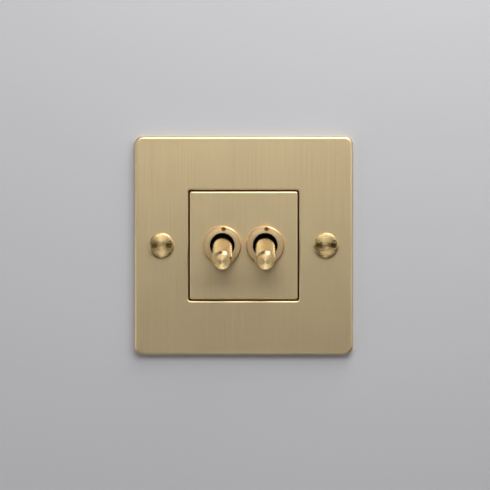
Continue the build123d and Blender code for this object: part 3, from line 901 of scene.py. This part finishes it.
# %% the wall panel
WALL_HALF = 270.0
WALL_OPENING = 37.5
WALL_FRONT = 0.05
WALL_BACK = 1.2
WALL_LOOPS = (
    (WALL_HALF, WALL_FRONT), (WALL_OPENING, WALL_FRONT),
    (WALL_OPENING, WALL_BACK), (WALL_HALF, WALL_BACK),
)


def wall_panel():
    """A square panel with a square opening, its front just behind the plate's back."""
    shape = bmesh.new()
    loops = []
    for half, depth in WALL_LOOPS:
        corners = ((-half, -half), (half, -half), (half, half), (-half, half))
        loops.append([shape.verts.new(Vector((x, depth, z)) * MM) for x, z in corners])
    for k, loop in enumerate(loops):
        after = loops[(k + 1) % 4]
        for i in range(4):
            j = (i + 1) % 4
            shape.faces.new((loop[i], loop[j], after[j], after[i]))
    bmesh.ops.recalc_face_normals(shape, faces=shape.faces)
    panel = as_object("wall_panel", shape)
    panel.data.materials.append(wall_paint())
    return panel


wall = wall_panel()
print("wall in mm:", [round(length / MM, 1) for length in wall.dimensions])

# %% [markdown]
# ## Soft light
# Brass shows whatever is round it, so the lamps are large and soft. The key lamp stands above,
# as a window or a studio light would, and gives the plate its fall from top to bottom. A small
# lamp beside the camera lights the faces evenly. Narrow ones above and below draw the fans on
# the turned faces, and weak ones fill in from the sides and from behind. The room itself is a
# faint grey glow, a little brighter overhead.

# %% the lamps
LAMPS = {
    "key_above": ((90, -450, 310), (0, 0, 0), (660, 260), 1.95),
    "beside_camera": ((-90, -1300, 130), (0, 0, 0), (150, 150), 0.27),
    "overhead": ((140, -150, 430), (0, -10, 0), (420, 200), 1.4),
    "near_above": ((0, -150, 200), (0, 0, 40), (300, 60), 0.03),
    "left_fill": ((-540, -300, -60), (0, 0, 0), (300, 560), 0.75),
    "right_fill": ((560, -420, 120), (0, 0, 0), (300, 400), 0.65),
    "low_bounce": ((0, -400, -390), (0, -15, 0), (80, 420), 0.25),
    "back_fill": ((250, 480, 380), (0, 20, 0), (400, 400), 1.5),
    "back_low": ((-350, 420, -200), (0, 20, 0), (300, 300), 0.7),
    "behind": ((60, 1100, 240), (0, 20, 0), (600, 400), 2.0),
    "behind_low": ((620, 620, -230), (0, 20, 0), (500, 400), 0.8),
}


def softbox(name, place, aim, size, power):
    """A soft rectangular lamp at a place in millimetres, facing another, with its watts."""
    lamp = bpy.data.lights.new(name, "AREA")
    lamp.shape = "RECTANGLE"
    lamp.size, lamp.size_y = (length * MM for length in size)
    lamp.energy = power
    stand = bpy.data.objects.new(name, lamp)
    stand.location = Vector(place) * MM
    stand.rotation_mode = "QUATERNION"
    stand.rotation_quaternion = (Vector(aim) * MM - stand.location).to_track_quat("-Z", "Y")
    bpy.context.scene.collection.objects.link(stand)


for name, lamp in LAMPS.items():
    softbox(name, *lamp)
print("lamps:", len(bpy.data.lights))

# %% the room's own light
ROOM_LOW = 0.5
ROOM_HIGH = 1.0
world = bpy.data.worlds.new("studio")
bpy.context.scene.world = world
world.use_nodes = True
room = Nodes(world.node_tree)
upward = room.parts(room.add("ShaderNodeTexCoord", {}, {}, "Generated"))[2]
spread = {"From Min": -0.6, "From Max": 0.8, "To Min": ROOM_LOW, "To Max": ROOM_HIGH}
glow = room.add("ShaderNodeMapRange", {}, {"Value": upward, **spread})
background = room.tree.nodes["Background"]
room.tree.links.new(glow.socket, background.inputs["Strength"])
bpy.context.scene.view_settings.view_transform = "Standard"
print("room light from", ROOM_LOW, "below to", ROOM_HIGH, "above")

# %% [markdown]
# ## The camera
# A long lens from straight in front, level with the switch, so that the plate stays square and
# the levers are hardly foreshortened by distance.

# %% set up the camera
VIEW_WIDTH = 179.5
CAMERA_DISTANCE = 1500.0
CAMERA_X = 0.46
CAMERA_Z = 0.15
SENSOR = 36.0
camera_data = bpy.data.cameras.new("camera")
camera_data.sensor_width = SENSOR
camera_data.lens = SENSOR * (CAMERA_DISTANCE + plate_front / MM) / VIEW_WIDTH
camera_data.clip_start = 0.05
camera = bpy.data.objects.new("camera", camera_data)
camera.location = Vector((CAMERA_X, -CAMERA_DISTANCE, CAMERA_Z)) * MM
camera.rotation_euler = (math.radians(90), 0.0, 0.0)
bpy.context.scene.collection.objects.link(camera)
bpy.context.scene.camera = camera
print("lens", round(camera_data.lens, 1), "mm")
